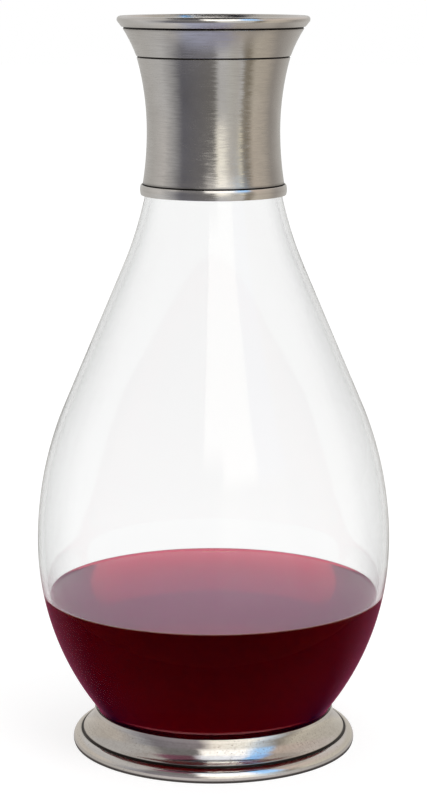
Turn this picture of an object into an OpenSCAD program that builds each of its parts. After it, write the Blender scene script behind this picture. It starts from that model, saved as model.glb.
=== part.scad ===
// Wine carafe: a blown glass body that stands in a turned pewter foot, with a turned pewter
// collar bonded over its neck, and a filling of red wine. Millimetres, +Z up, origin on the
// table under the middle of the foot. Every piece is a section turned about Z, and its
// outline is a list of [radius, height] points.

/* [Overall] */
// Height from the table to the top of the rim
total_h = 265; // [225:1:320]
// Height of the wine's surface above the table
wine_z = 56.6; // [30:0.2:100]

/* [Glass] */
// Widest diameter of the belly
belly_d = 128.4; // [106:0.2:155]
// Height of the belly's widest ring above the table
belly_z = 75.5; // [62:0.5:92]
// Diameter of the heel, the straight bottom end that stands in the foot
heel_d = 85.2; // [70:0.2:103]
// Outside diameter of the straight neck
neck_d = 43; // [35:0.5:52]
// Depth of the straight neck's lower end below the rim
neck_drop = 35; // [29:0.5:42]
// Length of the straight part of the neck
neck_straight = 10; // [6:0.5:14]
// Length of the straight flank between the belly's arc and the neck's arc
flank = 54; // [20:1:65]
// Share of the belly's arc in the two arcs' radii together
belly_share = 0.49; // [0.4:0.01:0.6]
// Wall thickness
glass_t = 2; // [1.4:0.1:3]
// Thickness of the bottom
bottom_t = 4; // [4:0.5:10]
// Radius of the inside corner round the bottom
inner_corner = 3; // [3:0.5:12]
// Radius of the heel's outside bottom edge
heel_round = 3; // [1:0.5:4]
// Diameter of the hollow under the bottom
punt_d = 50; // [40:1:60]
// Depth of the hollow under the bottom
punt_depth = 2; // [1:0.5:3]

/* [Foot] */
// Height of the foot
foot_h = 13.5; // [12:0.5:16.2]
// How far the foot spreads beyond its top edge
foot_spread = 8; // [7:0.2:9.6]
// Thickness of the foot's top edge
foot_edge = 0.9; // [0.6:0.1:1.5]
// Radius of the rolled rim round the foot
roll_r = 3.25; // [2.8:0.05:3.6]
// Height of the rolled rim's middle above the table
roll_z = 1.6; // [1.2:0.1:2]
// Width of the groove above the rolled rim
foot_groove = 1.1; // [0.6:0.1:1.4]
// Width of the shelf that carries the glass
shelf_w = 12; // [9:0.5:16]
// Thickness of the shelf that carries the glass
shelf_t = 2.5; // [2:0.1:3]
// Clear height under the shelf
shelf_clear = 4; // [3:0.1:4.5]
// Width of the ring that stands on the table
stand_w = 5.4; // [4:0.1:6]

/* [Collar] */
// Height of the collar
collar_h = 62.9; // [56:0.1:70]
// Depth of the waist below the rim
waist_drop = 40; // [36:0.5:44]
// Wall thickness at the waist
collar_t = 1.8; // [1.4:0.1:3]
// Depth of the mouth's lower edge below the rim
mouth_drop = 14.2; // [12:0.1:17]
// How far the mouth's lower edge stands out from the waist
mouth_rise = 3.5; // [2.5:0.1:5]
// Width of the groove round the mouth's lower edge
mouth_groove = 0.65; // [0.4:0.05:0.9]
// Radius of the flare between the mouth's lower edge and the rim
flare_arc = 50; // [20:1:80]
// How far the rim stands out from the waist
rim_rise = 10.4; // [9:0.1:13]
// Radius of the rounded rim
rim_r = 1.25; // [0.9:0.05:1.6]
// Depth of the groove under the rim below the top
rim_groove_drop = 4.1; // [3.4:0.1:4.6]
// How far the groove under the rim lies in from the rim's edge
rim_groove_in = 1.9; // [1.6:0.1:2.4]
// Width of the groove under the rim
rim_groove = 0.9; // [0.4:0.05:0.9]
// Height of the band round the collar's lower end
band_h = 3.6; // [3:0.1:4.4]
// Thickness of the band round the collar's lower end
band_t = 1.4; // [1.2:0.05:2]
// Radius of the band's rounded face
band_arc = 6; // [4:0.5:12]
// Wall thickness above the band
skirt_t = 1.2; // [1.1:0.05:1.8]
// Width of the groove above the band
skirt_groove = 0.5; // [0.4:0.05:0.9]
// Height of the straight throat above the glass
throat_h = 1.5; // [1:0.1:3]

/* [Bond] */
// Thickness of the bond between glass and pewter
bond_t = 0.4; // [0.2:0.05:0.6]
// Distance that the bond stays back from the edges that show
bond_back = 0.6; // [0.3:0.1:1.5]

/* [Hidden] */
// Furthest that a chord of an outline lies from its true arc
chord_gap = 0.01;
$fn = 180;
pewter = [0.66, 0.63, 0.59];
clear_glass = [0.85, 0.92, 0.92, 0.4];
red_wine = [0.32, 0.02, 0.06];
silicone = [0.9, 0.9, 0.87];

// Heights of the glass
shelf_top = shelf_clear + shelf_t;
glass_z = shelf_top + bond_t;
floor_z = glass_z + bottom_t;
neck_z = total_h - neck_drop;
glass_top = neck_z + neck_straight;

// Radii of the glass
belly_r = belly_d / 2;
heel_r = heel_d / 2;
neck_r = neck_d / 2;
throat_r = neck_r - glass_t;

// Arc from the belly's widest ring down to the heel
low_arc = arc_through(belly_r - heel_r, belly_z - foot_h);
low_c = [belly_r - low_arc, belly_z];
low_tilt = asin((belly_z - foot_h) / low_arc);

// Belly arc, straight flank and neck arc, each tangent to the next
arcs_dz = neck_z - belly_z;
arcs_dr = belly_r - neck_r;
arcs_sum = (pow(arcs_dz, 2) + pow(arcs_dr, 2) - pow(flank, 2)) / (2 * arcs_dr);
belly_arc = belly_share * arcs_sum;
belly_c = [belly_r - belly_arc, belly_z];
neck_arc = arcs_sum - belly_arc;
neck_c = [neck_r + neck_arc, neck_z];
flank_tilt = atan2(arcs_dz, arcs_sum - arcs_dr) - atan2(flank, arcs_sum);

// Fillet between the inner wall and the floor
corner_reach = low_arc - glass_t - inner_corner;
corner_tilt = asin((belly_z - floor_z - inner_corner) / corner_reach);
corner_c = low_c + corner_reach * [cos(corner_tilt), -sin(corner_tilt)];

// Hollow under the bottom
punt_arc = arc_through(punt_depth, punt_d / 2);
punt_tilt = asin(punt_d / 2 / punt_arc);

// Foot, from the glass outwards
shelf_r = heel_r - shelf_w;
recess_r = heel_r + bond_t;
edge_r = recess_r + foot_edge;
roll_c = [edge_r + foot_spread - roll_r, roll_z];
roll_tilt = asin(roll_z / roll_r);
foot_groove_c = [roll_c.x, roll_z + roll_r + foot_groove / 4];
cove_arc = arc_through(foot_groove_c.x - edge_r, foot_h - foot_groove_c.y);
cove_tilt = asin((foot_h - foot_groove_c.y) / cove_arc);
hollow_r = roll_c.x + roll_r * cos(roll_tilt) - stand_w;

// Collar, from its lower end upwards
collar_z = total_h - collar_h;
band_r = neck_radius(collar_z) + bond_t + band_t;
band_tilt = asin(band_h / 2 / band_arc);
skirt_z = collar_z + band_h + skirt_groove / 4;
skirt_r = neck_radius(skirt_z) + bond_t + skirt_t;
waist_z = total_h - waist_drop;
waist_r = neck_r + bond_t + collar_t;
skirt_arc = arc_through(skirt_r - waist_r, waist_z - skirt_z);
skirt_tilt = asin((waist_z - skirt_z) / skirt_arc);
mouth_c = [waist_r + mouth_rise, total_h - mouth_drop];
mouth_arc = arc_through(mouth_rise, mouth_c.y - waist_z);
mouth_tilt = asin((mouth_c.y - waist_z) / mouth_arc);
rim_edge = waist_r + rim_rise;
rim_c = [rim_edge - rim_r, total_h - rim_r];
rim_groove_c = [rim_edge - rim_groove_in, total_h - rim_groove_drop];
flare_c = arc_centre(mouth_c, rim_groove_c, flare_arc);

// Socket and throat inside the collar
socket_r = neck_r + bond_t;
socket_top = glass_top + bond_t;
throat_c = [throat_r, socket_top + throat_h];

// Radius of an arc that starts upright and moves sideways by dr over a height dz
function arc_through(dr, dz) = (dr * dr + dz * dz) / (2 * dr);

// Centre of an arc of radius r through a and b, on the right of the way from a to b
function arc_centre(a, b, r) =
    let (half = norm(b - a) / 2)
    let (side = [b.y - a.y, a.x - b.x] / (2 * half))
    (a + b) / 2 + side * sqrt(r * r - half * half);

// Direction of b as seen from a
function bearing(a, b) = atan2(b.y - a.y, b.x - a.x);

// Angle between the bearing of b and the tangent from b to a circle of radius r about a
function tangent_lean(a, b, r) = acos(r / norm(b - a));

// Points along an arc about c, without its last point
function arc(c, r, from, to) =
    let (steps = ceil(abs(to - from) / (2 * acos(1 - chord_gap / r))))
    [for (i = [0 : steps - 1]) c + r * turned(from + (to - from) * i / steps)];

function turned(angle) = [cos(angle), sin(angle)];

function backwards(points) = [for (i = [len(points) - 1 : -1 : 0]) points[i]];

// Outside radius of the glass at height z in the neck's arc
function neck_radius(z) = neck_c.x - sqrt(pow(neck_arc, 2) - pow(neck_z - z, 2));

// Neck of the glass from a tilt of its arc up to height top, a distance t inside its face
function neck_wall(t, tilt, top) = concat(
    arc(neck_c, neck_arc + t, 180 + tilt, 180),
    [[neck_r - t, neck_z], [neck_r - t, top]]
);

// Side of the glass from a tilt of its lowest arc up to the top, a distance t inside its face
function side_wall(t, tilt) = concat(
    arc(low_c, low_arc - t, -tilt, 0),
    arc(belly_c, belly_arc - t, 0, flank_tilt),
    neck_wall(t, flank_tilt, glass_top)
);

// Outside of the glass, from the middle of its bottom to its top
glass_outside = concat(
    arc([0, glass_z + punt_depth - punt_arc], punt_arc, 90, 90 - punt_tilt),
    [[punt_d / 2, glass_z]],
    arc([heel_r - heel_round, glass_z + heel_round], heel_round, -90, 0),
    [[heel_r, glass_z + heel_round]],
    side_wall(0, low_tilt)
);

// Inside of the glass, from the middle of its floor to its top
glass_inside = concat(
    [[0, floor_z]],
    arc(corner_c, inner_corner, -90, -corner_tilt),
    side_wall(glass_t, corner_tilt)
);

// Socket for the glass and its bond, from the collar's lower end to the socket's top
socket_wall = neck_wall(-bond_t, asin((neck_z - collar_z) / (neck_arc - bond_t)), socket_top);

module turned_solid(tint) {
    color(tint) rotate_extrude() children();
}

// Rectangle of a section between two corners
module block(low, high) {
    translate(low) square(high - low);
}

module groove(centre, width) {
    translate(centre) circle(width / 2);
}

module glass_body() {
    turned_solid(clear_glass)
    polygon(concat(glass_outside, backwards(glass_inside)));
}

module wine() {
    turned_solid(red_wine)
    intersection() {
        polygon(concat(glass_inside, [[0, glass_top]]));
        block([0, floor_z], [belly_r, wine_z]);
    }
}

module foot_ring() {
    turned_solid(pewter)
    difference() {
        polygon(concat(
            [[recess_r, foot_h]],
            arc([edge_r + cove_arc, foot_h], cove_arc, 180, 180 + cove_tilt),
            arc(roll_c, roll_r, 90, -roll_tilt),
            [[roll_c.x + roll_r * cos(roll_tilt), 0]],
            arc([hollow_r - shelf_clear, 0], shelf_clear, 0, 90),
            [[hollow_r - shelf_clear, shelf_clear], [shelf_r, shelf_clear]],
            [[shelf_r, shelf_top], [recess_r, shelf_top]]
        ));
        groove(foot_groove_c, foot_groove);
    }
}

module foot_bond() {
    turned_solid(silicone)
    difference() {
        block([shelf_r + bond_back, shelf_top], [recess_r, foot_h - bond_back]);
        polygon(concat(glass_outside, [[0, glass_top]]));
    }
}

module neck_collar() {
    turned_solid(pewter)
    difference() {
        polygon(concat(
            arc([band_r - band_arc, collar_z + band_h / 2], band_arc, -band_tilt, band_tilt),
            [[band_r - band_arc + band_arc * cos(band_tilt), collar_z + band_h]],
            arc([waist_r + skirt_arc, waist_z], skirt_arc, 180 + skirt_tilt, 180),
            arc([waist_r + mouth_arc, waist_z], mouth_arc, 180, 180 - mouth_tilt),
            arc(flare_c, flare_arc, bearing(flare_c, mouth_c), bearing(flare_c, rim_groove_c)),
            [rim_groove_c],
            arc(
                rim_c, rim_r,
                bearing(rim_c, rim_groove_c) + tangent_lean(rim_c, rim_groove_c, rim_r),
                bearing(rim_c, throat_c) + 360 - tangent_lean(rim_c, throat_c, rim_r)
            ),
            [throat_c, [throat_r, socket_top]],
            backwards(socket_wall)
        ));
        groove([skirt_r, skirt_z], skirt_groove);
        groove(mouth_c, mouth_groove);
        groove(rim_groove_c, rim_groove);
    }
}

module neck_bond() {
    turned_solid(silicone)
    difference() {
        intersection() {
            polygon(concat([[0, collar_z]], socket_wall, [[0, socket_top]]));
            block([throat_r + bond_back, collar_z + bond_back], [belly_r, socket_top]);
        }
        polygon(concat(glass_outside, [[0, glass_top]]));
    }
}

glass_body();
wine();
foot_ring();
foot_bond();
neck_collar();
neck_bond();
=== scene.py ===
"""Looks of the wine carafe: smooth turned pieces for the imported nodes, their materials, and a studio."""

import math

import bpy
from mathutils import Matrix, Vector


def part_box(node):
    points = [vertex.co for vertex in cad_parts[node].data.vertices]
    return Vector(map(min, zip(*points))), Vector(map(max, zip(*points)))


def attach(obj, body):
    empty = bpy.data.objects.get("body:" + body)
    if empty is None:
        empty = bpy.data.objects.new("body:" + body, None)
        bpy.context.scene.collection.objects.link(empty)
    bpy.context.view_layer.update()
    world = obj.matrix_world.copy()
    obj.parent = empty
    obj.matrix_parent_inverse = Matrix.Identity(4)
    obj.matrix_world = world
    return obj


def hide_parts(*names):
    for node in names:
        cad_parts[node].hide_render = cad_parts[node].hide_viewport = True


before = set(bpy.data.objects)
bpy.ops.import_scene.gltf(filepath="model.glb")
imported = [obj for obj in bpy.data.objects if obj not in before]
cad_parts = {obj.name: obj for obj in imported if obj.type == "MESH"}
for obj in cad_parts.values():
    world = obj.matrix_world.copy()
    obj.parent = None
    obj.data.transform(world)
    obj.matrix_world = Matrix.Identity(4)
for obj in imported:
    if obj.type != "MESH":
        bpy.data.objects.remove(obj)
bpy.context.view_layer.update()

MM = 0.001
SEGMENTS = 192

# Outlines: decimal places of a metre that are read, the shortest edge kept, and what counts as no length
PLACES = 6
SHORTEST_EDGE = 0.01 * MM
NO_LENGTH = 0.001 * MM

# Turns of an outline: up to the first it runs straight, and from the second it has a corner. Faces that meet
# at more than the third keep a sharp edge.
SLIGHT_TURN = math.radians(2)
CORNER_TURN = math.radians(24)
SHARP_TURN = math.radians(40)

# Steps in which a corner or a bent edge is drawn, and the shortest edge that is drawn bent
CURVE_STEPS = 4
SHORTEST_BEND = 0.2 * MM

# Eased corners of the pewter: reach, most of an edge that a corner takes, and how much further off a point
# holds the face beside it flat
EASE = 0.12 * MM
EASE_MOST = 0.3
EASE_HOLD = 1.5

# Grooves and worn edges: reach of the chord that depth is measured from, most points to each side of its
# middle, depth of a full mark, and the share of that depth that gets no mark
CHORD_REACH = 1.3 * MM
CHORD_POINTS = 40
FULL_DEPTH = 0.35 * MM
UNMARKED_SHARE = 0.3

# Gaps that keep the surfaces of two touching pieces apart
WINE_GAP = 0.02 * MM
BOND_GAP = 0.03 * MM

# Least cosine at a mitred corner, which limits how far its point moves
LEAST_MITRE = 0.3

# Wine's edge: how far it climbs the glass, over which width, in how many steps, and the height of the thin
# film at its very edge
MENISCUS_RISE = 0.6 * MM
MENISCUS_WIDTH = 2.2 * MM
MENISCUS_STEPS = 8
FILM = 0.5 * MM

# Refractive indices
GLASS_IOR = 1.5
WINE_IOR = 1.34
SILICONE_IOR = 1.41

# Camera: place, degrees that it looks down, lens, and height of the sensor
CAMERA_PLACE = (0.0, -0.8397, 0.2822)
CAMERA_PITCH = 10.44
CAMERA_LENS = 106.02
CAMERA_SENSOR = 36.0


# Outlines

def outline(node):
    """Outline of a turned node as (radius, height) points in order, read from the rings of its mesh."""
    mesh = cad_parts[node].data
    spots = []
    for vertex in mesh.vertices:
        radius = math.hypot(vertex.co.x, vertex.co.y)
        spots.append((round(radius, PLACES), round(vertex.co.z, PLACES)))
    beside = {}
    for edge in mesh.edges:
        first, second = (spots[i] for i in edge.vertices)
        if first != second:
            beside.setdefault(first, set()).add(second)
            beside.setdefault(second, set()).add(first)
    start = min(beside, key=lambda spot: (len(beside[spot]), spot))
    points = [start]
    here, left = start, set(beside) - {start}
    while left & beside[here]:
        here = min(left & beside[here], key=lambda spot: math.dist(spot, here))
        left.discard(here)
        if math.dist(here, points[-1]) > SHORTEST_EDGE:
            points.append(here)
    if len(beside[start]) == 1:
        points = to_axis(points)
    return upward(points)


def to_axis(points):
    """Open outline with the middle of each flat end face added, where the mesh has no vertex."""
    if points[0][0] > 0:
        points = [(0.0, points[0][1])] + points
    if points[-1][0] > 0:
        points = points + [(0.0, points[-1][1])]
    return points


def upward(points):
    """Turns an outline round if needed, so that it runs upwards on its outer side."""
    area = 0.0
    for (r0, z0), (r1, z1) in zip(points, points[1:] + points[:1]):
        area += r0 * z1 - r1 * z0
    return points if area > 0 else points[::-1]


def toward(start, end, distance):
    """Point at a distance from start on the way to end."""
    share = distance / math.dist(start, end)
    return (start[0] + (end[0] - start[0]) * share, start[1] + (end[1] - start[1]) * share)


def turn_at(before, here, after):
    """Angle by which an outline changes direction at a point."""
    first = math.atan2(here[1] - before[1], here[0] - before[0])
    second = math.atan2(after[1] - here[1], after[0] - here[0])
    return abs((second - first + math.pi) % (2 * math.pi) - math.pi)


def soften(points):
    """Closed outline with each corner eased, and the faces beside it held flat."""
    made = []
    count = len(points)
    for i, here in enumerate(points):
        before, after = points[i - 1], points[(i + 1) % count]
        if turn_at(before, here, after) < CORNER_TURN:
            made.append(here)
            continue
        near = min(EASE, EASE_MOST * math.dist(before, here))
        far = min(EASE, EASE_MOST * math.dist(here, after))
        start, end = toward(here, before, near), toward(here, after, far)
        made.append(toward(here, before, EASE_HOLD * near))
        for step in range(CURVE_STEPS + 1):
            made.append(bezier(start, here, end, step / CURVE_STEPS))
        made.append(toward(here, after, EASE_HOLD * far))
    return made


def bezier(start, middle, end, t):
    """Point of a quadratic curve."""
    a, b, c = (1 - t) ** 2, 2 * t * (1 - t), t ** 2
    return (a * start[0] + b * middle[0] + c * end[0], a * start[1] + b * middle[1] + c * end[1])


def refine(points, marks):
    """Closed outline with points added along its bent edges, and a mark for each of its points."""
    made, kept = [], []
    count = len(points)
    top = max(height for radius, height in points)
    for i, here in enumerate(points):
        before, after, beyond = points[i - 1], points[(i + 1) % count], points[(i + 2) % count]
        made.append(here)
        kept.append(marks[i])
        turns = (turn_at(before, here, after), turn_at(here, after, beyond))
        bent = SLIGHT_TURN < min(turns) and max(turns) < CORNER_TURN
        if bent and math.dist(here, after) > SHORTEST_BEND:
            for radius, height in curve(before, here, after, beyond):
                made.append((radius, min(height, top)))
            change = (marks[(i + 1) % count] - marks[i]) / CURVE_STEPS
            kept += [marks[i] + change * step for step in range(1, CURVE_STEPS)]
    return made, kept


def curve(before, start, end, beyond):
    """Points between start and end on a smooth curve that also heeds the points before and beyond."""
    length = math.dist(start, end)
    leave = heading(before, start, end)
    arrive = heading(start, end, beyond)
    made = []
    for step in range(1, CURVE_STEPS):
        t = step / CURVE_STEPS
        a, b = 1 - 3 * t ** 2 + 2 * t ** 3, 3 * t ** 2 - 2 * t ** 3
        c, d = length * (t - 2 * t ** 2 + t ** 3), length * (t ** 3 - t ** 2)
        made.append(tuple(a * start[k] + b * end[k] + c * leave[k] + d * arrive[k] for k in (0, 1)))
    return made


def heading(before, here, after):
    """Direction of a curve at a point, midway between the edges that meet there."""
    first, second = direction(before, here), direction(here, after)
    return unit(first[0] + second[0], first[1] + second[1])


def direction(start, end):
    """Direction from one point to another, with the length 1."""
    return unit(end[0] - start[0], end[1] - start[1])


def unit(x, y):
    """Direction of a vector, with the length 1."""
    length = math.hypot(x, y) or 1.0
    return (x / length, y / length)


def hollowness(points):
    """How deep each point lies in a groove, up to 1, or how far out on an edge, down to -1."""
    count = len(points)
    found = []
    for i, here in enumerate(points):
        low, high = i, i
        while math.dist(points[low], here) < CHORD_REACH and i - low < CHORD_POINTS:
            low -= 1
        while math.dist(points[high % count], here) < CHORD_REACH and high - i < CHORD_POINTS:
            high += 1
        (r0, z0), (r1, z1) = points[low], points[high % count]
        depth = (r1 - r0) * (here[1] - z0) - (z1 - z0) * (here[0] - r0)
        depth /= math.dist((r0, z0), (r1, z1))
        mark = max(0.0, abs(depth) / FULL_DEPTH - UNMARKED_SHARE)
        found.append(math.copysign(min(1.0, mark), depth))
    return found


# Turned pieces

PIECES = {}


def lathe(name, points, marks=None):
    """Object turned about Z from an outline, with a mark per point kept as the attribute hollow."""
    verts, faces, values = [], [], []
    rings = []
    for i, (radius, height) in enumerate(points):
        count = 1 if radius < NO_LENGTH else SEGMENTS
        rings.append(range(len(verts), len(verts) + count))
        for k in range(count):
            angle = 2 * math.pi * k / SEGMENTS
            verts.append((radius * math.cos(angle), radius * math.sin(angle), height))
            values.append(marks[i] if marks else 0.0)
    open_ends = len(rings[0]) == 1 and len(rings[-1]) == 1
    for low, high in zip(rings, rings[1:] if open_ends else rings[1:] + rings[:1]):
        faces += strip(low, high)
    mesh = bpy.data.meshes.new(name)
    mesh.from_pydata(verts, [], faces)
    mesh.shade_smooth()
    mesh.set_sharp_from_angle(angle=SHARP_TURN)
    hollow = mesh.attributes.new("hollow", "FLOAT", "POINT")
    hollow.data.foreach_set("value", values)
    piece = bpy.data.objects.new(name, mesh)
    bpy.context.collection.objects.link(piece)
    return piece


def strip(low, high):
    """Faces between two rings, either of which may be a single point on the axis."""
    faces = []
    for k in range(SEGMENTS):
        after = (k + 1) % SEGMENTS
        corners = [low[k % len(low)], low[after % len(low)], high[after % len(high)], high[k % len(high)]]
        faces.append(tuple(dict.fromkeys(corners)))
    return [face for face in faces if len(face) > 2]


def stand_for(piece, node, material):
    """Lets a piece take the place of a node, with its material."""
    piece.data.materials.append(material)
    PIECES[node] = piece
    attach(piece, "root")
    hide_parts(node)


def split_at(points, height):
    """Outline with a point added where its inner side, which runs down, crosses a height."""
    made = [points[0]]
    for before, here in zip(points, points[1:]):
        if here[1] < height < before[1]:
            made.append((radius_at(before, here, height), height))
        made.append(here)
    return made


def radius_at(before, here, height):
    """Radius at a height on the edge between two points."""
    share = (height - before[1]) / (here[1] - before[1])
    return before[0] + (here[0] - before[0]) * share


def shrink(points, gap):
    """Closed outline drawn in by a gap on all sides."""
    made = []
    count = len(points)
    for i, here in enumerate(points):
        before, after = points[i - 1], points[(i + 1) % count]
        made.append(mitre(before, here, after, gap))
    return made


def mitre(before, here, after, gap):
    """Point drawn in by a gap from both of the edges that meet at it."""
    first, second = direction(before, here), direction(here, after)
    inward = unit(-first[1] - second[1], first[0] + second[0])
    reach = gap / max(LEAST_MITRE, -first[1] * inward[0] + first[0] * inward[1])
    return (here[0] + inward[0] * reach, here[1] + inward[1] * reach)


# Material helpers

def add(tree, kind, inputs, **settings):
    """Adds a node with its settings, and sets each input to a value or links it to an output."""
    made = tree.nodes.new("ShaderNode" + kind)
    for name, value in settings.items():
        setattr(made, name, value)
    for name, value in inputs.items():
        give(tree, made.inputs[name], value)
    return made


def give(tree, socket, value):
    """Sets an input to a value, or links it to an output."""
    if isinstance(value, bpy.types.NodeSocket):
        tree.links.new(value, socket)
    else:
        socket.default_value = value


def math_of(tree, operation, *values, clamp=False):
    """Output of a math node."""
    return add(tree, "Math", dict(enumerate(values)), operation=operation, use_clamp=clamp).outputs[0]


def spread(tree, value, source, target=(0.0, 1.0)):
    """Output of a clamped map from a source range to a target range."""
    names = ("Value", "From Min", "From Max", "To Min", "To Max")
    return add(tree, "MapRange", dict(zip(names, (value, *source, *target)))).outputs["Result"]


def blend(tree, share, first, second):
    """Colour between two colours."""
    made = add(tree, "Mix", {}, data_type="RGBA")
    colours = [socket for socket in made.inputs if socket.type == "RGBA"]
    give(tree, made.inputs[0], share)
    give(tree, colours[0], first)
    give(tree, colours[1], second)
    return next(socket for socket in made.outputs if socket.type == "RGBA")


def noise(tree, vector, scale, detail=3.0, roughness=0.55):
    """Noise that is even in all directions."""
    inputs = {"Vector": vector, "Scale": scale, "Detail": detail, "Roughness": roughness}
    return add(tree, "TexNoise", inputs).outputs[0]


def new_material(name):
    """Empty material and its tree, with the output node."""
    material = bpy.data.materials.new(name)
    material.use_nodes = True
    tree = material.node_tree
    tree.nodes.clear()
    return material, tree, tree.nodes.new("ShaderNodeOutputMaterial")


def place_of(tree):
    """Place on the object, in metres."""
    return add(tree, "TexCoord", {}).outputs["Object"]


def height_of(tree, place):
    """Height of a place above the table, or rise of a direction."""
    return add(tree, "SeparateXYZ", {"Vector": place}).outputs["Z"]


def mark_of(tree, name):
    """Value kept on the mesh under a name."""
    return add(tree, "Attribute", {}, attribute_name=name).outputs["Fac"]


def turning_lines(tree, place, along, across):
    """Noise drawn out round the axis: along counts streaks round a turn, across counts them per metre."""
    parts = add(tree, "SeparateXYZ", {"Vector": place})
    flat = add(tree, "CombineXYZ", {"X": parts.outputs["X"], "Y": parts.outputs["Y"]}).outputs[0]
    radius = add(tree, "VectorMath", {0: flat}, operation="LENGTH").outputs["Value"]
    round_axis = add(tree, "VectorMath", {0: flat}, operation="NORMALIZE").outputs[0]
    round_axis = add(tree, "VectorMath", {0: round_axis, "Scale": along}, operation="SCALE").outputs[0]
    outwards = add(tree, "CombineXYZ", {"Z": math_of(tree, "MULTIPLY", radius, across)}).outputs[0]
    vector = add(tree, "VectorMath", {0: round_axis, 1: outwards}, operation="ADD").outputs[0]
    height = math_of(tree, "MULTIPLY", parts.outputs["Z"], across)
    inputs = {"Vector": vector, "W": height, "Scale": 1.0, "Detail": 2.0}
    return add(tree, "TexNoise", inputs, noise_dimensions="4D").outputs[0]


# Materials

# Tones of the pewter: its patina, and the lines, grain, worn edges and pits on it, and the painted shade in
# its grooves
DARK_PATINA = (0.52, 0.50, 0.475, 1)
LIGHT_PATINA = (0.60, 0.58, 0.56, 1)
LINE_TONE = (0.40, 0.38, 0.36, 1)
GRAIN_TONE = (0.44, 0.41, 0.38, 1)
WORN_TONE = (0.70, 0.68, 0.66, 1)
PIT_TONE = (0.16, 0.14, 0.12, 1)
GROOVE_SHADE_TONE = (0.02, 0.016, 0.014, 1)

# Heights over which the foot's polish, and its pits and grain, give way to the collar's finish
POLISH_END = (20 * MM, 50 * MM)
CASTING_END = (50 * MM, 100 * MM)

# Tints of the glass seen straight on and at its edges, where painted shade greys it, of what it mirrors, and
# of light deep in it
GLASS_TINT = (0.955, 0.955, 0.955, 1)
GLASS_EDGE_SHADE_TINT = (0.64, 0.65, 0.65, 1)
GLASS_MIRROR_TINT = (0.35, 0.35, 0.35, 1)
GLASS_DEPTH_TINT = (0.30, 0.36, 0.34, 1)

# Tints of the wine's side, its surface and the film at its edge, which is a painted highlight, and of light
# deep in it
WINE_SIDE_TINT = (1.0, 0.70, 0.14, 1)
WINE_TOP_TINT = (1.0, 0.115, 0.50, 1)
WINE_EDGE_HIGHLIGHT_TINT = (0.90, 0.62, 0.66, 1)
WINE_DEPTH_TINT = (0.876, 0.0, 0.28, 1)

# Share of light that goes through the wine's hazy surface, and how much less goes through the film at its
# edge, whose pale haze is a painted highlight
WINE_TOP_CLEAR = 0.57
WINE_EDGE_HIGHLIGHT_HAZE = 0.45

# Tones of the silicone where it is milky and where it is clear
MILKY_TONE = (0.78, 0.78, 0.75, 1)
CLEAR_TONE = (0.88, 0.88, 0.86, 1)


def pewter():
    """Satin pewter, turned on a lathe, with a cloudy patina, pits, painted shade in its grooves and worn
    edges.
    """
    material, tree, output = new_material("pewter")
    place = place_of(tree)
    fine = turning_lines(tree, place, along=5.0, across=2400.0)
    patina = spread(tree, noise(tree, place, 70.0, detail=5.0, roughness=0.6), (0.3, 0.7))
    pits = casting_pits(tree, place)
    relief = mark_of(tree, "hollow")
    # Mask of the grooves, which are darkened to near black with painted shade
    groove_shade = spread(tree, relief, (0.1, 0.7))
    dull = spread(tree, height_of(tree, place), POLISH_END, (0.55, 1.0))
    tone = pewter_tone(tree, place, patina, fine, relief)
    tone = blend(tree, math_of(tree, "MULTIPLY", pits, 0.45), tone, PIT_TONE)
    tangent = add(tree, "Tangent", {}, direction_type="RADIAL", axis="Z").outputs[0]
    inputs = {
        "Base Color": blend(tree, groove_shade, tone, GROOVE_SHADE_TONE),
        "Metallic": 1.0,
        "Roughness": pewter_roughness(tree, patina, fine, groove_shade, dull),
        "Anisotropic": 0.5,
        "Anisotropic Rotation": 0.25,
        "Normal": pewter_normal(tree, place, tangent, fine, pits, dull),
        "Tangent": tangent,
    }
    shader = add(tree, "BsdfPrincipled", inputs)
    tree.links.new(shader.outputs[0], output.inputs["Surface"])
    return material


def pewter_tone(tree, place, patina, fine, relief):
    """Colour of the pewter with its patina, turning lines, grain and worn edges."""
    tone = blend(tree, patina, DARK_PATINA, LIGHT_PATINA)
    tone = blend(tree, spread(tree, fine, (0.4, 0.75), (0.0, 0.3)), tone, LINE_TONE)
    tone = blend(tree, casting_grain(tree, place), tone, GRAIN_TONE)
    return blend(tree, spread(tree, relief, (-0.1, -0.7), (0.0, 0.5)), tone, WORN_TONE)


def pewter_roughness(tree, patina, fine, groove_shade, dull):
    """Roughness of the pewter: cloudy, higher on the turning lines, and highest in the grooves."""
    rough = spread(tree, patina, (0.0, 1.0), (0.11, 0.17))
    rough = math_of(tree, "ADD", rough, spread(tree, fine, (0.35, 0.7), (0.0, 0.14)))
    rough = math_of(tree, "MULTIPLY", rough, dull)
    return math_of(tree, "ADD", rough, math_of(tree, "MULTIPLY", groove_shade, 0.4), clamp=True)


def pewter_normal(tree, place, tangent, fine, pits, dull):
    """Normal of the pewter, bent by its turning lines and pits."""
    broad = turning_lines(tree, place, along=1.5, across=600.0)
    height = math_of(tree, "ADD", fine, math_of(tree, "MULTIPLY", broad, 2.0))
    height = math_of(tree, "SUBTRACT", height, math_of(tree, "MULTIPLY", pits, 3.0))
    normal = leaning(tree, tangent, fine, math_of(tree, "MULTIPLY", dull, 0.13))
    inputs = {"Height": height, "Strength": 0.35, "Distance": 0.012 * MM, "Normal": normal}
    return add(tree, "Bump", inputs).outputs[0]


def casting_pits(tree, place):
    """Small pits in clusters low down on the carafe, 0 to 1."""
    specks = noise(tree, place, 1800.0, detail=2.0, roughness=0.5)
    clusters = spread(tree, noise(tree, place, 45.0, detail=2.0, roughness=0.5), (0.45, 0.65), (0.0, 0.1))
    pits = spread(tree, math_of(tree, "ADD", specks, clusters), (0.70, 0.78))
    return math_of(tree, "MULTIPLY", pits, low_down(tree, place))


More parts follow.
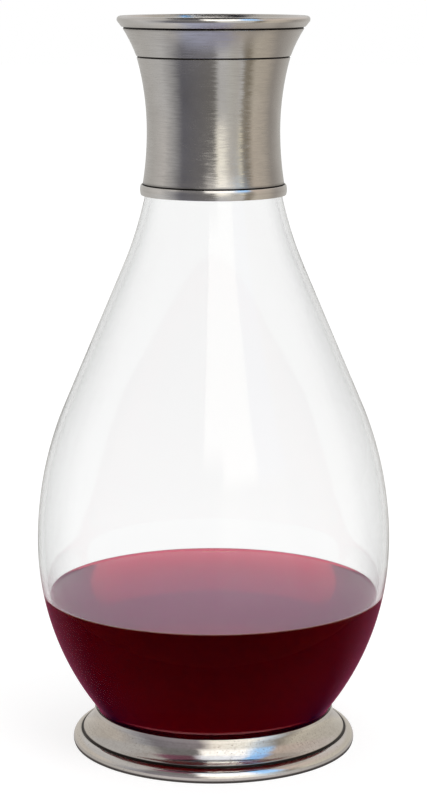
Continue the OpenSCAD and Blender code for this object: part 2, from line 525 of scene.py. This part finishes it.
def casting_grain(tree, place):
    """Fine dull grain low down on the carafe, up to 0.4."""
    grain = spread(tree, noise(tree, place, 900.0, detail=3.0, roughness=0.65), (0.45, 0.65), (0.0, 0.4))
    return math_of(tree, "MULTIPLY", grain, low_down(tree, place))


def low_down(tree, place):
    """1 on the foot, 0 on the collar."""
    return spread(tree, height_of(tree, place), CASTING_END, (1.0, 0.0))


def leaning(tree, tangent, lines, most):
    """Normal that leans a little to one side or the other on each turning line."""
    lean = math_of(tree, "MULTIPLY", math_of(tree, "SUBTRACT", lines, 0.5), most)
    aside = add(tree, "VectorMath", {0: tangent, "Scale": lean}, operation="SCALE").outputs[0]
    normal = add(tree, "NewGeometry", {}).outputs["Normal"]
    both = add(tree, "VectorMath", {0: normal, 1: aside}, operation="ADD").outputs[0]
    return add(tree, "VectorMath", {0: both}, operation="NORMALIZE").outputs[0]


def clear_glass():
    """Blown soda glass, faintly grey in its depth, with painted shade at its edges, slow waves and thin
    smears.
    """
    material, tree, output = new_material("glass")
    place = place_of(tree)
    waves = noise(tree, place, 28.0, detail=1.0, roughness=0.4)
    smears = noise(tree, place, 45.0, detail=4.0, roughness=0.6)
    facing = add(tree, "LayerWeight", {"Blend": 0.5}).outputs["Facing"]
    # Painted shade that greys the glass towards its edges, where it turns away from the view
    edge = spread(tree, facing, (0.42, 1.0))
    bump = add(tree, "Bump", {"Height": waves, "Strength": 0.25, "Distance": 0.25 * MM})
    inputs = {
        "Base Color": blend(tree, edge, GLASS_TINT, GLASS_EDGE_SHADE_TINT),
        "Roughness": spread(tree, smears, (0.45, 0.75), (0.0, 0.03)),
        "IOR": mark_of(tree, "bend"),
        "Specular Tint": GLASS_MIRROR_TINT,
        "Transmission Weight": 1.0,
        "Normal": bump.outputs[0],
    }
    shader = add(tree, "BsdfPrincipled", inputs)
    depth = add(tree, "VolumeAbsorption", {"Color": GLASS_DEPTH_TINT, "Density": 13.0})
    tree.links.new(shader.outputs[0], output.inputs["Surface"])
    tree.links.new(depth.outputs[0], output.inputs["Volume"])
    return material


def red_wine():
    """Red wine, deeper red with every centimetre of its depth, with a mauve haze on its surface and a
    painted highlight along its edge.
    """
    material, tree, output = new_material("wine")
    ripples = noise(tree, place_of(tree), 60.0, detail=1.0, roughness=0.4)
    # Mark of the film at the wine's edge, made pale and hazy as a painted highlight
    edge_highlight = mark_of(tree, "hollow")
    bend = mark_of(tree, "bend")
    surface = spread(tree, bend, (1.0, WINE_IOR))
    tint = blend(tree, surface, WINE_SIDE_TINT, WINE_TOP_TINT)
    clear = spread(tree, surface, (0.0, 1.0), (1.0, WINE_TOP_CLEAR))
    haze = math_of(tree, "MULTIPLY", edge_highlight, WINE_EDGE_HIGHLIGHT_HAZE)
    bump = add(tree, "Bump", {"Height": ripples, "Strength": 0.1, "Distance": 0.2 * MM})
    inputs = {
        "Base Color": blend(tree, edge_highlight, tint, WINE_EDGE_HIGHLIGHT_TINT),
        "Roughness": 0.0,
        "IOR": bend,
        "Transmission Weight": math_of(tree, "SUBTRACT", clear, haze),
        "Normal": bump.outputs[0],
    }
    shader = add(tree, "BsdfPrincipled", inputs)
    depth = add(tree, "VolumeAbsorption", {"Color": WINE_DEPTH_TINT, "Density": 250.0})
    tree.links.new(shader.outputs[0], output.inputs["Surface"])
    tree.links.new(depth.outputs[0], output.inputs["Volume"])
    return material


def silicone():
    """Clear silicone, milky in places, with small bubbles."""
    material, tree, output = new_material("silicone")
    place = place_of(tree)
    milk = noise(tree, place, 120.0, detail=3.0, roughness=0.5)
    bubbles = add(tree, "TexVoronoi", {"Vector": place, "Scale": 420.0}).outputs["Distance"]
    bump = add(tree, "Bump", {"Height": bubbles, "Strength": 0.3, "Distance": 0.1 * MM})
    inputs = {
        "Base Color": blend(tree, spread(tree, milk, (0.3, 0.7)), MILKY_TONE, CLEAR_TONE),
        "Roughness": spread(tree, milk, (0.3, 0.7), (0.25, 0.45)),
        "IOR": SILICONE_IOR,
        "Transmission Weight": 0.5,
        "Normal": bump.outputs[0],
    }
    shader = add(tree, "BsdfPrincipled", inputs)
    tree.links.new(shader.outputs[0], output.inputs["Surface"])
    return material


# Pieces

def make_metal(node, material):
    """Pewter piece with its edges eased and its grooves marked."""
    points = soften(outline(node))
    points, marks = refine(points, hollowness(points))
    piece = lathe(node + "_turned", points, marks)
    stand_for(piece, node, material)


def make_bond(node, material):
    """Bond between glass and pewter, a hair clear of both."""
    points = shrink(outline(node), BOND_GAP)
    stand_for(lathe(node + "_bead", points), node, material)


def wine_level():
    """Height of the wine's surface."""
    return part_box("wine")[1][2]


def make_glass(material):
    """Glass body, which bends light less where wine lies on its inner face."""
    contact = wine_level() + MENISCUS_RISE
    points = split_at(outline("glass_body"), contact)
    piece = lathe("glass_body_blown", points)
    stand_for(piece, "glass_body", material)
    inside = inner_start(points)
    bends = []
    for i, face in enumerate(piece.data.polygons):
        top = max(piece.data.vertices[v].co.z for v in face.vertices)
        wet = i // SEGMENTS >= inside and top < contact + NO_LENGTH
        bends.append(GLASS_IOR / WINE_IOR if wet else GLASS_IOR)
    keep_bends(piece, bends)


def keep_bends(piece, bends):
    """Keeps the refractive index of each face on the mesh."""
    piece.data.attributes.new("bend", "FLOAT", "FACE").data.foreach_set("value", bends)


def inner_start(points):
    """Index of the outline's highest point, after which it runs down the inside."""
    return max(range(len(points)), key=lambda i: (points[i][1], i))


def make_wine(material):
    """Wine in the glass, whose surface climbs the wall a little and alone bends light by itself."""
    level = wine_level()
    contact = level + MENISCUS_RISE
    below = [spot for spot in outline("wine") if spot[1] < level - FILM]
    side = [(max(0.0, radius - WINE_GAP), height + WINE_GAP) for radius, height in below]
    side.append((wall_radius(contact - FILM) - WINE_GAP, contact - FILM))
    edge = wall_radius(contact) - WINE_GAP
    top = []
    for step in range(MENISCUS_STEPS + 1):
        t = step / MENISCUS_STEPS
        top.append((edge - t * MENISCUS_WIDTH, level + MENISCUS_RISE * (1 - t) ** 3))
    points = side + top + [(edge / 2, level), (0.0, level)]
    # The film at the wine's edge is marked for its painted highlight
    marks = [1.0 if spot == top[0] else 0.0 for spot in points]
    piece = lathe("wine_pool", points, marks)
    stand_for(piece, "wine", material)
    rows = [i // SEGMENTS for i in range(len(piece.data.polygons))]
    keep_bends(piece, [WINE_IOR if row >= len(side) else 1.0 for row in rows])


def wall_radius(height):
    """Inner radius of the glass at a height."""
    points = outline("glass_body")
    for before, here in list(zip(points, points[1:]))[inner_start(points):]:
        if here[1] <= height <= before[1]:
            return radius_at(before, here, height)
    raise ValueError("no inner wall at this height")


# Studio

# Light that a mirror meets in the room, by degrees round the carafe from the camera towards +X. Foot, collar
# and glass each see the room from their own place, and so in their own tones.

# Room as the foot sees it: table in painted shadow under its edge, table beside it, far table and low walls,
# high walls, and sky
UNDER_SHADE_TONES = [
    (-180, (0.10, 0.09, 0.09)),
]
EDGE_TONES = [
    (-180, (0.60, 0.57, 0.54)),
    (-50, (0.60, 0.57, 0.54)),
    (-20, (0.76, 0.72, 0.71)),
    (25, (0.76, 0.72, 0.71)),
    (50, (0.60, 0.57, 0.54)),
]
FOOT_LOW_TONES = [
    (-180, (0.66, 0.63, 0.58)),
    (-100, (0.78, 0.72, 0.65)),
    (-70, (0.50, 0.50, 0.53)),
    (-54, (0.30, 0.28, 0.31)),
    (-12, (0.38, 0.34, 0.36)),
    (0, (1.40, 1.32, 1.18)),
    (28, (1.45, 1.42, 1.30)),
    (42, (0.85, 0.98, 1.10)),
    (62, (0.42, 0.38, 0.33)),
    (78, (0.82, 0.76, 0.64)),
]
FOOT_HIGH_TONES = [
    (-180, (0.66, 0.64, 0.60)),
    (-74, (0.62, 0.58, 0.56)),
    (-60, (0.30, 0.12, 0.18)),
    (-24, (0.20, 0.08, 0.11)),
    (-14, (1.45, 1.50, 1.60)),
    (36, (1.50, 1.56, 1.70)),
    (44, (0.50, 1.05, 1.80)),
    (60, (0.48, 0.80, 1.40)),
    (70, (0.60, 0.52, 0.46)),
]
FOOT_SKY_TONES = [
    (-180, (0.32, 0.30, 0.26)),
    (-75, (0.30, 0.14, 0.17)),
    (-20, (0.18, 0.06, 0.08)),
    (-8, (0.85, 0.88, 1.15)),
    (34, (0.85, 0.88, 1.10)),
    (44, (0.45, 0.65, 1.25)),
    (62, (0.45, 0.60, 1.10)),
    (75, (0.32, 0.30, 0.26)),
]

# Room as the collar sees it: near table, far table and low walls, middle of the walls, high walls, and sky.
# The foot shares the middle of the walls, and the glass the far table, the low walls and the sky.
NEAR_TONES = [
    (-180, (0.60, 0.58, 0.55)),
    (-72, (0.74, 0.72, 0.70)),
    (-50, (0.51, 0.54, 0.70)),
    (20, (0.47, 0.47, 0.59)),
    (50, (0.54, 0.49, 0.43)),
    (72, (0.50, 0.46, 0.42)),
]
LOW_TONES = [
    (-180, (0.58, 0.57, 0.55)),
    (-125, (0.63, 0.62, 0.60)),
    (-92, (0.78, 0.76, 0.74)),
    (-72, (0.50, 0.50, 0.51)),
    (-54, (0.17, 0.17, 0.20)),
    (1, (0.23, 0.22, 0.21)),
    (8, (1.50, 1.45, 1.28)),
    (17, (1.35, 1.31, 1.18)),
    (27, (0.75, 0.73, 0.68)),
    (38, (0.66, 0.64, 0.60)),
    (46, (1.05, 0.98, 0.78)),
    (52, (0.32, 0.28, 0.22)),
    (60, (0.32, 0.28, 0.22)),
    (70, (0.74, 0.66, 0.56)),
    (92, (0.64, 0.58, 0.50)),
    (112, (0.42, 0.39, 0.36)),
    (145, (0.60, 0.58, 0.55)),
]
MIDDLE_TONES = [
    (-180, (0.76, 0.75, 0.74)),
    (-66, (0.67, 0.65, 0.63)),
    (-50, (0.28, 0.27, 0.27)),
    (-16, (0.26, 0.25, 0.25)),
    (-10, (1.95, 1.90, 1.80)),
    (30, (1.95, 1.93, 1.88)),
    (42, (0.66, 1.10, 1.70)),
    (56, (0.62, 1.05, 1.65)),
    (64, (0.82, 0.68, 0.58)),
]
HIGH_TONES = [
    (-180, (0.66, 0.64, 0.60)),
    (-74, (0.62, 0.60, 0.57)),
    (-62, (0.19, 0.19, 0.22)),
    (-24, (0.20, 0.20, 0.22)),
    (-18, (2.60, 2.54, 2.44)),
    (40, (2.60, 2.54, 2.46)),
    (46, (0.55, 1.18, 2.05)),
    (64, (0.52, 1.10, 1.95)),
    (72, (0.60, 0.56, 0.50)),
]
SKY_TONES = [
    (-180, (0.32, 0.30, 0.26)),
    (-75, (0.32, 0.30, 0.26)),
    (-60, (0.42, 0.82, 1.45)),
    (130, (0.42, 0.82, 1.45)),
    (145, (0.32, 0.30, 0.26)),
]

# Table as the glass sees it: in the red shadow of the wine, and in a ring that glows red
SHADOW_TONES = [
    (-180, (0.28, 0.08, 0.13)),
    (-108, (0.28, 0.05, 0.11)),
    (-80, (0.035, 0.003, 0.032)),
    (80, (0.035, 0.003, 0.032)),
    (108, (0.28, 0.05, 0.11)),
]
GLOW_TONES = [
    (-180, (0.28, 0.08, 0.13)),
    (-108, (0.28, 0.05, 0.11)),
    (-75, (1.0, 0.14, 0.20)),
    (-50, (2.0, 0.30, 0.40)),
    (-20, (3.0, 1.10, 1.15)),
    (25, (3.0, 1.10, 1.15)),
    (50, (2.0, 0.26, 0.26)),
    (75, (1.0, 0.14, 0.15)),
    (108, (0.28, 0.05, 0.11)),
]


def window_tones(left):
    """Tones of a wall, as the glass sees it, with a window that starts at an angle."""
    return [
        (-180, (0.70, 0.69, 0.68)),
        (-66, (0.65, 0.63, 0.61)),
        (-50, (0.28, 0.27, 0.27)),
        (left - 2, (0.26, 0.25, 0.25)),
        (left, (5.00, 4.90, 4.50)),
        (30, (5.00, 4.90, 4.50)),
        (32, (1.10, 1.25, 1.80)),
        (50, (1.00, 1.15, 1.70)),
        (54, (0.70, 0.62, 0.56)),
    ]


# Room: radius, height of the table's face, most light that the far table sends up, heights of the walls, and
# heights and radii of the sky
ROOM_RADIUS = 1.6
TABLE_LEVEL = 0.4 * MM
TABLE_MOST = 0.72
LOW_WALL = (0.05, 0.5)
MIDDLE_WALL = (0.75, 1.5)
HIGH_WALL = (1.8, 3.1)
SKY_HEIGHTS = (3.2, 3.8)
SKY_RADII = (0.9 * ROOM_RADIUS, 0.01)

# Window as the glass sees it: heights, and the angle where it starts, at its lower edge and above it
LOW_WINDOW = [0.68]
HIGH_WINDOW = (1.05, 3.1)
LOW_WINDOW_LEFT = 8
HIGH_WINDOW_LEFT = -6

# Rings of the table, in radii of the foot, and where its far part starts
UNDER_FOOT = (0.01, 1.01)
BESIDE_FOOT = (1.03, 1.35)
FAR_FROM_FOOT = 1.8
NEAR_COLLAR = (0.01, 4.0)
FAR_FROM_COLLAR = 5.2
UNDER_GLASS = (0.01, 0.79)
GLOW_RING = (0.80, 0.835)
BESIDE_GLASS = (0.86, 3.5)

# Layers of the room, one behind the other: distance between two, and number of the last
LAYER_GAP = 0.1 * MM
LAST_LAYER = 2

# Even light on matte surfaces; rise of the view over which the backdrop dims in mirrors, and what it dims to
DIFFUSE_LEVEL = 0.72
BACKDROP_HEIGHTS = (0.02, 0.60)
BACKDROP_DIMMED = 0.45

# Floor: half its width, its tone, and the light that it adds where it is seen
FLOOR_HALF = 6.0
FLOOR_TONE = (0.55, 0.55, 0.55, 1)
FLOOR_LIFT = 0.66

# Lamp: watts, width, place, and degrees that it is tilted and turned
LAMP_POWER = 6.0
LAMP_SIZE = 0.9
LAMP_PLACE = (0.7, -1.0, 1.3)
LAMP_TILT = 43
LAMP_TURN = 35

WHITE = (1.0, 1.0, 1.0, 1)


def tone_at(stops, angle):
    """Colour at an angle, between the two nearest stops; the last stop is followed by the first."""
    start, tone = stops[0]
    closed = stops + [(start + 360, tone)]
    for (low, first), (high, second) in zip(closed, closed[1:]):
        if low <= angle <= high:
            share = (angle - low) / (high - low)
            return tuple(a + (b - a) * share for a, b in zip(first, second))
    raise ValueError("angle outside the stops")


def ring(shares, tones):
    """Rows round the table at shares of the foot's radius."""
    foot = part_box("foot_ring")[1][0]
    return [(share * foot, TABLE_LEVEL, tones) for share in shares]


def wall(heights, tones):
    """Rows round the walls at some heights."""
    return [(ROOM_RADIUS, height, tones) for height in heights]


def far_table(share, tones):
    """Rows of the table from a share of the foot's radius to the walls."""
    return ring([share], tones) + wall([TABLE_LEVEL], tones)


def sky(tones):
    """Rows at the edge and near the middle of the sky."""
    return [(radius, height, tones) for radius, height in zip(SKY_RADII, SKY_HEIGHTS)]


def low_room():
    """Rows of the far table and the low walls, as collar and glass see them."""
    dimmed = [(angle, tuple(min(TABLE_MOST, part) for part in tone)) for angle, tone in LOW_TONES]
    return far_table(FAR_FROM_COLLAR, dimmed) + wall(LOW_WALL, LOW_TONES)


def room_by_foot():
    """Rows of the room as the foot sees it."""
    rows = ring(UNDER_FOOT, UNDER_SHADE_TONES) + ring(BESIDE_FOOT, EDGE_TONES)
    rows += far_table(FAR_FROM_FOOT, FOOT_LOW_TONES) + wall(LOW_WALL, FOOT_LOW_TONES)
    rows += wall(MIDDLE_WALL, MIDDLE_TONES) + wall(HIGH_WALL, FOOT_HIGH_TONES)
    return rows + sky(FOOT_SKY_TONES)


def room_by_collar():
    """Rows of the room as the collar sees it."""
    rows = ring(NEAR_COLLAR, NEAR_TONES) + low_room()
    rows += wall(MIDDLE_WALL, MIDDLE_TONES) + wall(HIGH_WALL, HIGH_TONES)
    return rows + sky(SKY_TONES)


def room_by_glass():
    """Rows of the room as the glass and the wine in it see it."""
    rows = ring(UNDER_GLASS, SHADOW_TONES) + ring(GLOW_RING, GLOW_TONES)
    rows += ring(BESIDE_GLASS, SHADOW_TONES) + low_room()
    rows += wall(LOW_WINDOW, window_tones(LOW_WINDOW_LEFT))
    rows += wall(HIGH_WINDOW, window_tones(HIGH_WINDOW_LEFT))
    return rows + sky(SKY_TONES)


def make_room():
    """Room that shows in mirrors only: table, walls with a tall window, and sky."""
    mirrored("room_by_foot", room_by_foot(), 0, "foot_ring")
    mirrored("room_by_collar", room_by_collar(), 1, "neck_collar")
    mirrored("room_by_glass", room_by_glass(), 2, "glass_body", "wine")


def mirrored(name, rows, layer, *nodes):
    """Surface round the axis in the colours of its rows, which shows only in the nodes named."""
    behind = layer * LAYER_GAP
    verts, faces, colours = [], [], []
    for angle in range(-180, 181):
        across, ahead = math.sin(math.radians(angle)), -math.cos(math.radians(angle))
        for radius, height, stops in rows:
            verts.append(((radius + behind) * across, (radius + behind) * ahead, height - behind))
            colours += [*tone_at(stops, angle), 1.0]
    count = len(rows)
    for corner in range(len(verts) - count):
        if corner % count < count - 1:
            faces.append((corner, corner + count, corner + count + 1, corner + 1))
    mesh = bpy.data.meshes.new(name)
    mesh.from_pydata(verts, [], faces)
    mesh.attributes.new("tone", "FLOAT_COLOR", "POINT").data.foreach_set("color", colours)
    mesh.materials.append(room_light(name, layer < LAST_LAYER))
    room = bpy.data.objects.new(name, mesh)
    bpy.context.collection.objects.link(room)
    show_in(room, nodes)


def show_in(room, nodes):
    """Hides a room from all but the mirror images in the nodes named."""
    for ray in ("camera", "diffuse", "transmission", "volume_scatter", "shadow"):
        setattr(room, "visible_" + ray, False)
    mirrors = bpy.data.collections.new(room.name)
    for node in nodes:
        mirrors.objects.link(PIECES[node])
    room.light_linking.receiver_collection = mirrors


def room_light(name, see_through):
    """Light in the colour kept on the points of a room, which may let the layer behind it show."""
    material, tree, output = new_material(name)
    tone = add(tree, "Attribute", {}, attribute_name="tone").outputs["Color"]
    light = add(tree, "Emission", {"Color": tone, "Strength": 1.0})
    if see_through:
        gap = add(tree, "BsdfTransparent", {})
        light = add(tree, "AddShader", {0: light.outputs[0], 1: gap.outputs[0]})
    tree.links.new(light.outputs[0], output.inputs["Surface"])
    return material


def keep_out_of_mirrors(*nodes):
    """Hides pieces from mirror images, so that the heel of the glass mirrors the room."""
    for node in nodes:
        PIECES[node].visible_glossy = False


def is_ray(tree, *kinds):
    """1 for the kinds of ray named, otherwise 0."""
    path = add(tree, "LightPath", {})
    share = path.outputs[kinds[0]]
    for kind in kinds[1:]:
        share = math_of(tree, "MAXIMUM", share, path.outputs[kind])
    return share


def make_world():
    """White backdrop, dimmer higher up in mirrors, and an even light on matte surfaces."""
    world = bpy.data.worlds.new("studio")
    bpy.context.scene.world = world
    world.use_nodes = True
    tree = world.node_tree
    tree.nodes.clear()
    output = tree.nodes.new("ShaderNodeOutputWorld")
    up = height_of(tree, add(tree, "TexCoord", {}).outputs["Generated"])
    reflected = spread(tree, up, BACKDROP_HEIGHTS, (1.0, BACKDROP_DIMMED))
    bounced = is_ray(tree, "Is Glossy Ray", "Is Transmission Ray")
    scattered = math_of(tree, "GREATER_THAN", add(tree, "LightPath", {}).outputs["Diffuse Depth"], 0.5)
    bounced = math_of(tree, "SUBTRACT", bounced, scattered, clamp=True)
    level = spread(tree, bounced, (0.0, 1.0), (DIFFUSE_LEVEL, reflected))
    level = spread(tree, is_ray(tree, "Is Camera Ray"), (0.0, 1.0), (level, 1.0))
    back = add(tree, "Background", {"Color": WHITE, "Strength": level})
    tree.links.new(back.outputs[0], output.inputs["Surface"])


def make_floor():
    """Pale floor that keeps the carafe's shadow and looks white to the camera and through the glass."""
    corners = [(x * FLOOR_HALF, y * FLOOR_HALF, 0) for x, y in ((-1, -1), (1, -1), (1, 1), (-1, 1))]
    mesh = bpy.data.meshes.new("floor")
    mesh.from_pydata(corners, [], [(0, 1, 2, 3)])
    material, tree, output = new_material("floor")
    seen = is_ray(tree, "Is Camera Ray", "Is Glossy Ray", "Is Transmission Ray")
    matte = add(tree, "BsdfDiffuse", {"Color": FLOOR_TONE})
    strength = spread(tree, seen, (0.0, 1.0), (0.0, FLOOR_LIFT))
    lift = add(tree, "Emission", {"Color": WHITE, "Strength": strength})
    both = add(tree, "AddShader", {0: matte.outputs[0], 1: lift.outputs[0]})
    tree.links.new(both.outputs[0], output.inputs["Surface"])
    mesh.materials.append(material)
    floor = bpy.data.objects.new("floor", mesh)
    bpy.context.collection.objects.link(floor)


def make_lamp():
    """Large soft lamp in front of the carafe, above and to the right."""
    light = bpy.data.lights.new("lamp", "AREA")
    light.energy = LAMP_POWER
    light.size = LAMP_SIZE
    lamp = bpy.data.objects.new("lamp", light)
    lamp.location = LAMP_PLACE
    lamp.rotation_euler = (math.radians(LAMP_TILT), 0, math.radians(LAMP_TURN))
    lamp.visible_glossy = False
    lamp.visible_transmission = False
    bpy.context.collection.objects.link(lamp)


def make_camera():
    """Camera at the photograph's place and angle."""
    data = bpy.data.cameras.new("camera")
    data.sensor_fit = "VERTICAL"
    data.sensor_height = CAMERA_SENSOR
    data.lens = CAMERA_LENS
    camera = bpy.data.objects.new("camera", data)
    camera.location = CAMERA_PLACE
    camera.rotation_euler = (math.radians(90 - CAMERA_PITCH), 0, 0)
    bpy.context.collection.objects.link(camera)
    bpy.context.scene.camera = camera


metal = pewter()
bond = silicone()
make_metal("neck_collar", metal)
make_metal("foot_ring", metal)
make_bond("neck_bond", bond)
make_bond("foot_bond", bond)
make_glass(clear_glass())
make_wine(red_wine())
keep_out_of_mirrors("foot_ring", "foot_bond")
make_room()
make_world()
make_floor()
make_lamp()
make_camera()
bpy.context.scene.view_settings.view_transform = "Standard"
